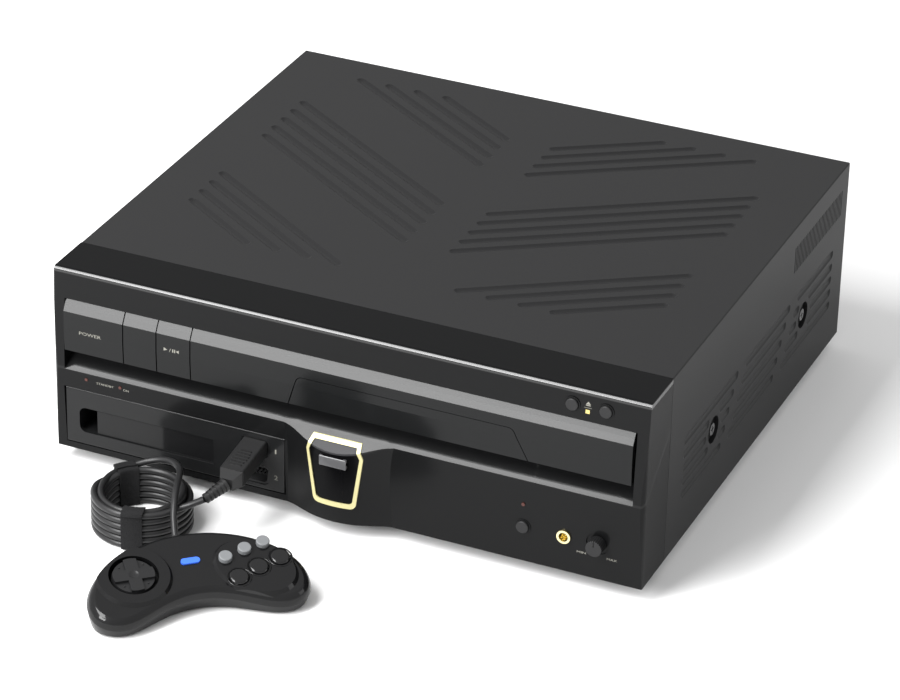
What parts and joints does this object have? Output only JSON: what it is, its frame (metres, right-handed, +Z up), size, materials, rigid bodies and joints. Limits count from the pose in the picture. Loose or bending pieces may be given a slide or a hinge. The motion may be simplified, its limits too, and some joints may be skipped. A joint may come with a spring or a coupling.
{
  "type": "laserdisc player",
  "caption": "Front-loading laserdisc player with large and small disc trays, a plug-in control pack with a cartridge slot, and a wired hand controller on a coiled lead.",
  "frame": {"origin": "on the floor, under the middle of the whole part from the controller's front to the rear sockets", "axes": "+X to the viewer's right along the front, +Y to the back, +Z up"},
  "size_m": [0.42, 0.5714, 0.144],
  "materials": {
    "cover_steel": "satin dark grey",
    "front_plastic": "dark semi-gloss",
    "dark_plastic": "matte",
    "pad_plastic": "semi-gloss",
    "window": "polished",
    "pale_gold": "polished",
    "zinc_steel": "plated",
    "screw_steel": "satin",
    "board_green": "lacquer",
    "power_board": "lacquer",
    "rubber_black": "matte",
    "cord_black": "satin",
    "tie_fabric": "woven",
    "grey_button": "satin",
    "blue_button": "satin",
    "black_button": "polished",
    "tray_plastic": "matte",
    "deck_steel": "plated",
    "white_plastic": "matte",
    "lamp": "clear"
  },
  "bodies": {
    "cabinet": {"base_chassis": "zinc_steel", "top_cover": "cover_steel", "cover_screws": "screw_steel", "rear_panel": "cover_steel", "front_fascia": "front_plastic", "sensor_window": "window", "emblem_frame": "pale_gold", "indicator_lamps": "lamp", "phones_jack": "pale_gold", "feet": "rubber_black", "pack_bay": "zinc_steel", "main_board": "board_green", "power_supply": "power_board", "loader_frame": "deck_steel", "clamp_bridge": "deck_steel", "front_boards": "board_green", "rear_jacks": "dark_plastic", "mains_inlet": "dark_plastic", "loading_motor": "deck_steel"},
    "large_tray": {"ld_tray": "tray_plastic", "disc_door": "front_plastic"},
    "small_tray": {"cd_tray": "tray_plastic", "cd_door": "front_plastic"},
    "drive_deck": {"mech_deck": "deck_steel", "spindle_motor": "deck_steel"},
    "control_pack": {"pack_case": "zinc_steel", "pack_front": "front_plastic", "pack_board": "board_green", "port_sockets": "dark_plastic", "port_plug": "dark_plastic", "plug_relief": "cord_black", "cord_lead": "cord_black", "cord_coil": "cord_black", "cord_tail": "cord_black", "coil_ties": "tie_fabric", "pad_relief": "cord_black", "pad_upper": "pad_plastic", "pad_lower": "pad_plastic", "pad_board": "board_green"},
    "cross_rocker": {"cross_pivot": "dark_plastic"},
    "power_key": {"power_key": "front_plastic"},
    "pack_release_key": {"pack_release_key": "front_plastic"},
    "play_key": {"play_key": "front_plastic"},
    "open_button": {"open_button": "front_plastic"},
    "stop_button": {"stop_button": "front_plastic"},
    "memory_button": {"memory_button": "front_plastic"},
    "level_knob": {"level_knob": "dark_plastic"},
    "turntable": {"turntable": "rubber_black"},
    "pickup_sled": {"pickup_sled": "dark_plastic"},
    "disc_clamp": {"disc_clamp": "white_plastic"},
    "drive_pinion": {"drive_pinion": "white_plastic"},
    "cartridge_flap": {"cartridge_flap": "front_plastic"},
    "pad_cross": {"pad_cross": "dark_plastic"},
    "start_button": {"start_button": "blue_button"},
    "button_a": {"button_a": "black_button"},
    "button_b": {"button_b": "black_button"},
    "button_c": {"button_c": "black_button"},
    "button_x": {"button_x": "grey_button"},
    "button_y": {"button_y": "grey_button"},
    "button_z": {"button_z": "grey_button"}
  },
  "joints": [
    {"name": "large_tray_slide", "type": "slide", "parent": "cabinet", "child": "large_tray", "axis": [0, -1, 0], "range_m": [0, 0.305]},
    {"name": "small_tray_slide", "type": "slide", "parent": "large_tray", "child": "small_tray", "axis": [0, -1, 0], "range_m": [0, 0.23]},
    {"name": "power_key_press", "type": "slide", "parent": "cabinet", "child": "power_key", "axis": [0, 1, 0], "range_m": [0, 0.0015], "stiffness_N_per_m": 400},
    {"name": "pack_release_key_press", "type": "slide", "parent": "cabinet", "child": "pack_release_key", "axis": [0, 1, 0], "range_m": [0, 0.0015], "stiffness_N_per_m": 400},
    {"name": "play_key_press", "type": "slide", "parent": "cabinet", "child": "play_key", "axis": [0, 1, 0], "range_m": [0, 0.0015], "stiffness_N_per_m": 400},
    {"name": "open_button_press", "type": "slide", "parent": "cabinet", "child": "open_button", "axis": [0, 1, 0], "range_m": [0, 0.0012], "stiffness_N_per_m": 250},
    {"name": "stop_button_press", "type": "slide", "parent": "cabinet", "child": "stop_button", "axis": [0, 1, 0], "range_m": [0, 0.0012], "stiffness_N_per_m": 250},
    {"name": "memory_button_press", "type": "slide", "parent": "cabinet", "child": "memory_button", "axis": [0, 1, 0], "range_m": [0, 0.0012], "stiffness_N_per_m": 250},
    {"name": "level_knob_turn", "type": "hinge", "parent": "cabinet", "child": "level_knob", "pos_m": [0.1795, -0.09927, 0.037], "axis": [0, -1, 0], "range_deg": [-140, 140]},
    {"name": "deck_lift", "type": "slide", "parent": "cabinet", "child": "drive_deck", "axis": [0, 0, 1], "range_m": [0, 0.007]},
    {"name": "turntable_spin", "type": "hinge", "parent": "drive_deck", "child": "turntable", "pos_m": [0.046, 0.06873, 0.08], "axis": [0, 0, 1], "continuous": true},
    {"name": "pickup_travel", "type": "slide", "parent": "drive_deck", "child": "pickup_sled", "axis": [0, 1, 0], "range_m": [0, 0.088]},
    {"name": "clamp_spin", "type": "hinge", "parent": "cabinet", "child": "disc_clamp", "pos_m": [0.046, 0.06873, 0.112], "axis": [0, 0, 1], "continuous": true},
    {"name": "pinion_spin", "type": "hinge", "parent": "cabinet", "child": "drive_pinion", "pos_m": [-0.093, -0.05927, 0.0775], "axis": [1, 0, 0], "range_deg": [-5, 1670]},
    {"name": "pack_slide", "type": "slide", "parent": "cabinet", "child": "control_pack", "axis": [0, -1, 0], "range_m": [0, 0.15]},
    {"name": "flap_swing", "type": "hinge", "parent": "control_pack", "child": "cartridge_flap", "pos_m": [-0.1365, -0.09947, 0.0423], "axis": [1, 0, 0], "range_deg": [0, 75], "stiffness_Nm_per_rad": 0.002, "springref_deg": -11.46},
    {"name": "cross_tilt_long", "type": "hinge", "parent": "control_pack", "child": "cross_rocker", "pos_m": [-0.07611, -0.24572, 0.0196], "axis": [0.7524, 0.6587, 0], "range_deg": [-5, 5], "stiffness_Nm_per_rad": 0.05},
    {"name": "cross_tilt_wide", "type": "hinge", "parent": "cross_rocker", "child": "pad_cross", "pos_m": [-0.07611, -0.24572, 0.0196], "axis": [-0.6299, 0.7195, 0.2924], "range_deg": [-5, 5], "stiffness_Nm_per_rad": 0.05},
    {"name": "start_button_press", "type": "slide", "parent": "control_pack", "child": "start_button", "axis": [-0.1926, 0.22, -0.9563], "range_m": [0, 0.001], "stiffness_N_per_m": 300},
    {"name": "button_a_press", "type": "slide", "parent": "control_pack", "child": "button_a", "axis": [-0.1926, 0.22, -0.9563], "range_m": [0, 0.001], "stiffness_N_per_m": 300},
    {"name": "button_b_press", "type": "slide", "parent": "control_pack", "child": "button_b", "axis": [-0.1926, 0.22, -0.9563], "range_m": [0, 0.001], "stiffness_N_per_m": 300},
    {"name": "button_c_press", "type": "slide", "parent": "control_pack", "child": "button_c", "axis": [-0.1926, 0.22, -0.9563], "range_m": [0, 0.001], "stiffness_N_per_m": 300},
    {"name": "button_x_press", "type": "slide", "parent": "control_pack", "child": "button_x", "axis": [-0.1926, 0.22, -0.9563], "range_m": [0, 0.001], "stiffness_N_per_m": 300},
    {"name": "button_y_press", "type": "slide", "parent": "control_pack", "child": "button_y", "axis": [-0.1926, 0.22, -0.9563], "range_m": [0, 0.001], "stiffness_N_per_m": 300},
    {"name": "button_z_press", "type": "slide", "parent": "control_pack", "child": "button_z", "axis": [-0.1926, 0.22, -0.9563], "range_m": [0, 0.001], "stiffness_N_per_m": 300}
  ],
  "couplings": [
    {"joint": "pinion_spin", "follows": "large_tray_slide", "rad_per_m": 95.238}
  ]
}
